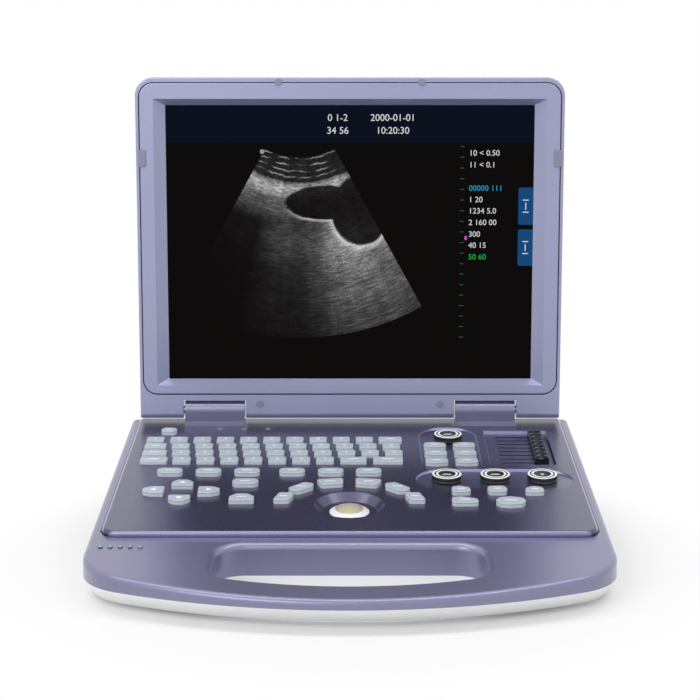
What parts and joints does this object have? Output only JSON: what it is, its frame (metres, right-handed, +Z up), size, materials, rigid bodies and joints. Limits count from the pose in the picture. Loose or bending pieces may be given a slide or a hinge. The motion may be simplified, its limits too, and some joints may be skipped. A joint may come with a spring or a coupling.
{
  "type": "ultrasound scanner",
  "caption": "Laptop-type ultrasound scanner: wedge-shaped console with carrying handle, keyboard, knobs, gain sliders and trackball, and a hinged lid with a 15-inch screen.",
  "frame": {"origin": "on the table, under the middle of the open scanner", "axes": "X to the user's right, Y to the back, Z up"},
  "size_m": [0.373, 0.3716, 0.3536],
  "materials": {
    "shell_white": "fine satin, moulded",
    "shell_mauve": "metallic paint, semi-gloss",
    "panel_mauve": "metallic paint, semi-gloss",
    "lid_mauve": "metallic paint, semi-gloss",
    "screen_face": "smooth, low gloss, lit image",
    "screen_metal": "pressed sheet",
    "battery_case": "wrapped cells, dark film",
    "circuit_board": "solder mask",
    "silicone": "soft, matt",
    "heat_sink_metal": "extruded",
    "fan_plastic": "moulded",
    "socket_black": "moulded",
    "socket_metal": "nickel plated",
    "control_metal": "tinned sheet",
    "steel": "plated steel",
    "foot_rubber": "matt",
    "bumper_grey": "matt",
    "ball_ivory": "polished",
    "collar_white": "smooth",
    "lens_green": "clear, tinted",
    "control_black": "fine satin",
    "key_grey": "fine satin"
  },
  "bodies": {
    "base": {"lower_shell": "shell_white", "upper_shell": "shell_mauve", "control_panel": "panel_mauve", "keypad_mat": "silicone", "key_board": "circuit_board", "main_board": "circuit_board", "beamformer_board": "circuit_board", "battery_pack": "battery_case", "battery_door": "shell_white", "fan_frame": "fan_plastic", "heat_sink": "heat_sink_metal", "speakers": "fan_plastic", "probe_sockets": "socket_black", "rear_sockets": "socket_metal", "rubber_feet": "foot_rubber", "case_screws": "steel", "slider_pots": "control_metal", "encoders": "control_metal", "trackball_ring": "collar_white", "trackball_cup": "fan_plastic", "indicator_lenses": "lens_green", "hinge_covers": "shell_mauve", "hinge_brackets": "steel"},
    "lid": {"hinge_arms": "steel", "lid_back_cover": "lid_mauve", "lid_bezel": "lid_mauve", "screen_glass": "screen_face", "screen_module": "screen_metal", "screen_board": "circuit_board", "lid_bumpers": "bumper_grey"},
    "fan_rotor_body": {"fan_rotor": "fan_plastic"},
    "ball_body": {"trackball": "ball_ivory"},
    "roller_body": {"trackball_roller": "steel"},
    "slider_cap_1_body": {"slider_cap_1": "control_black"},
    "slider_cap_2_body": {"slider_cap_2": "control_black"},
    "slider_cap_3_body": {"slider_cap_3": "control_black"},
    "slider_cap_4_body": {"slider_cap_4": "control_black"},
    "slider_cap_5_body": {"slider_cap_5": "control_black"},
    "slider_cap_6_body": {"slider_cap_6": "control_black"},
    "slider_cap_7_body": {"slider_cap_7": "control_black"},
    "slider_cap_8_body": {"slider_cap_8": "control_black"},
    "knob_1_body": {"knob_1": "control_black"},
    "knob_2_body": {"knob_2": "control_black"},
    "knob_3_body": {"knob_3": "control_black"},
    "knob_4_body": {"knob_4": "control_black"},
    "letter_keys_1_body": {"letter_keys_1": "key_grey"},
    "letter_keys_2_body": {"letter_keys_2": "key_grey"},
    "letter_keys_3_body": {"letter_keys_3": "key_grey"},
    "letter_keys_4_body": {"letter_keys_4": "key_grey"},
    "function_keys_body": {"function_keys": "key_grey"},
    "power_key_body": {"power_key": "key_grey"},
    "arrow_key_up_body": {"arrow_key_up": "key_grey"},
    "arrow_key_down_body": {"arrow_key_down": "key_grey"},
    "arrow_key_left_body": {"arrow_key_left": "key_grey"},
    "arrow_key_right_body": {"arrow_key_right": "key_grey"},
    "menu_keys_body": {"menu_keys": "key_grey"},
    "ball_keys_left_body": {"ball_keys_left": "key_grey"},
    "ball_keys_right_body": {"ball_keys_right": "key_grey"},
    "dial_keys_body": {"dial_keys": "key_grey"},
    "image_keys_body": {"image_keys": "key_grey"}
  },
  "joints": [
    {"name": "lid_hinge", "type": "hinge", "parent": "base", "child": "lid", "pos_m": [0, 0.15996, 0.0768], "axis": [1, 0, 0], "range_deg": [-25, 97.6]},
    {"name": "fan_spin", "type": "hinge", "parent": "base", "child": "fan_rotor_body", "pos_m": [0, 0.18101, 0.033], "axis": [0, 1, 0], "continuous": true},
    {"name": "ball_roll", "type": "hinge", "parent": "base", "child": "ball_body", "pos_m": [-0.0005, -0.02393, 0.02808], "axis": [1, 0, 0], "continuous": true},
    {"name": "roller_spin", "type": "hinge", "parent": "base", "child": "roller_body", "pos_m": [-0.0005, -0.00439, 0.03015], "axis": [1, 0, 0], "continuous": true},
    {"name": "slider_slide_1", "type": "slide", "parent": "base", "child": "slider_cap_1_body", "axis": [-1, 0, 0], "range_m": [0, 0.03]},
    {"name": "slider_slide_2", "type": "slide", "parent": "base", "child": "slider_cap_2_body", "axis": [-1, 0, 0], "range_m": [0, 0.03]},
    {"name": "slider_slide_3", "type": "slide", "parent": "base", "child": "slider_cap_3_body", "axis": [-1, 0, 0], "range_m": [0, 0.03]},
    {"name": "slider_slide_4", "type": "slide", "parent": "base", "child": "slider_cap_4_body", "axis": [-1, 0, 0], "range_m": [0, 0.03]},
    {"name": "slider_slide_5", "type": "slide", "parent": "base", "child": "slider_cap_5_body", "axis": [-1, 0, 0], "range_m": [0, 0.03]},
    {"name": "slider_slide_6", "type": "slide", "parent": "base", "child": "slider_cap_6_body", "axis": [-1, 0, 0], "range_m": [0, 0.03]},
    {"name": "slider_slide_7", "type": "slide", "parent": "base", "child": "slider_cap_7_body", "axis": [-1, 0, 0], "range_m": [0, 0.03]},
    {"name": "slider_slide_8", "type": "slide", "parent": "base", "child": "slider_cap_8_body", "axis": [-1, 0, 0], "range_m": [0, 0.03]},
    {"name": "knob_1_turn", "type": "hinge", "parent": "base", "child": "knob_1_body", "pos_m": [0.0805, 0.12045, 0.06055], "axis": [0, -0.1052, 0.9944], "continuous": true},
    {"name": "knob_2_turn", "type": "hinge", "parent": "base", "child": "knob_2_body", "pos_m": [0.0747, 0.02697, 0.05066], "axis": [0, -0.1052, 0.9944], "continuous": true},
    {"name": "knob_3_turn", "type": "hinge", "parent": "base", "child": "knob_3_body", "pos_m": [0.112, 0.02697, 0.05066], "axis": [0, -0.1052, 0.9944], "continuous": true},
    {"name": "knob_4_turn", "type": "hinge", "parent": "base", "child": "knob_4_body", "pos_m": [0.1483, 0.02697, 0.05066], "axis": [0, -0.1052, 0.9944], "continuous": true},
    {"name": "letter_keys_1_press", "type": "slide", "parent": "base", "child": "letter_keys_1_body", "axis": [0, 0.1052, -0.9944], "range_m": [0, 0.0015], "stiffness_N_per_m": 300, "springref_m": -0.0005},
    {"name": "letter_keys_2_press", "type": "slide", "parent": "base", "child": "letter_keys_2_body", "axis": [0, 0.1052, -0.9944], "range_m": [0, 0.0015], "stiffness_N_per_m": 300, "springref_m": -0.0005},
    {"name": "letter_keys_3_press", "type": "slide", "parent": "base", "child": "letter_keys_3_body", "axis": [0, 0.1052, -0.9944], "range_m": [0, 0.0015], "stiffness_N_per_m": 300, "springref_m": -0.0005},
    {"name": "letter_keys_4_press", "type": "slide", "parent": "base", "child": "letter_keys_4_body", "axis": [0, 0.1052, -0.9944], "range_m": [0, 0.0015], "stiffness_N_per_m": 300, "springref_m": -0.0005},
    {"name": "function_keys_press", "type": "slide", "parent": "base", "child": "function_keys_body", "axis": [0, 0.1052, -0.9944], "range_m": [0, 0.0015], "stiffness_N_per_m": 300, "springref_m": -0.0005},
    {"name": "power_key_press", "type": "slide", "parent": "base", "child": "power_key_body", "axis": [0, 0.1052, -0.9944], "range_m": [0, 0.0015], "stiffness_N_per_m": 300, "springref_m": -0.0005},
    {"name": "arrow_key_up_press", "type": "slide", "parent": "base", "child": "arrow_key_up_body", "axis": [0, 0.1052, -0.9944], "range_m": [0, 0.0015], "stiffness_N_per_m": 300, "springref_m": -0.0005},
    {"name": "arrow_key_down_press", "type": "slide", "parent": "base", "child": "arrow_key_down_body", "axis": [0, 0.1052, -0.9944], "range_m": [0, 0.0015], "stiffness_N_per_m": 300, "springref_m": -0.0005},
    {"name": "arrow_key_left_press", "type": "slide", "parent": "base", "child": "arrow_key_left_body", "axis": [0, 0.1052, -0.9944], "range_m": [0, 0.0015], "stiffness_N_per_m": 300, "springref_m": -0.0005},
    {"name": "arrow_key_right_press", "type": "slide", "parent": "base", "child": "arrow_key_right_body", "axis": [0, 0.1052, -0.9944], "range_m": [0, 0.0015], "stiffness_N_per_m": 300, "springref_m": -0.0005},
    {"name": "menu_keys_press", "type": "slide", "parent": "base", "child": "menu_keys_body", "axis": [0, 0.1052, -0.9944], "range_m": [0, 0.0015], "stiffness_N_per_m": 300, "springref_m": -0.0005},
    {"name": "ball_keys_left_press", "type": "slide", "parent": "base", "child": "ball_keys_left_body", "axis": [0, 0.1052, -0.9944], "range_m": [0, 0.0015], "stiffness_N_per_m": 300, "springref_m": -0.0005},
    {"name": "ball_keys_right_press", "type": "slide", "parent": "base", "child": "ball_keys_right_body", "axis": [0, 0.1052, -0.9944], "range_m": [0, 0.0015], "stiffness_N_per_m": 300, "springref_m": -0.0005},
    {"name": "dial_keys_press", "type": "slide", "parent": "base", "child": "dial_keys_body", "axis": [0, 0.1052, -0.9944], "range_m": [0, 0.0015], "stiffness_N_per_m": 300, "springref_m": -0.0005},
    {"name": "image_keys_press", "type": "slide", "parent": "base", "child": "image_keys_body", "axis": [0, 0.1052, -0.9944], "range_m": [0, 0.0015], "stiffness_N_per_m": 300, "springref_m": -0.0005}
  ],
  "couplings": [
    {"joint": "roller_spin", "follows": "ball_roll", "ratio": -6.8}
  ]
}
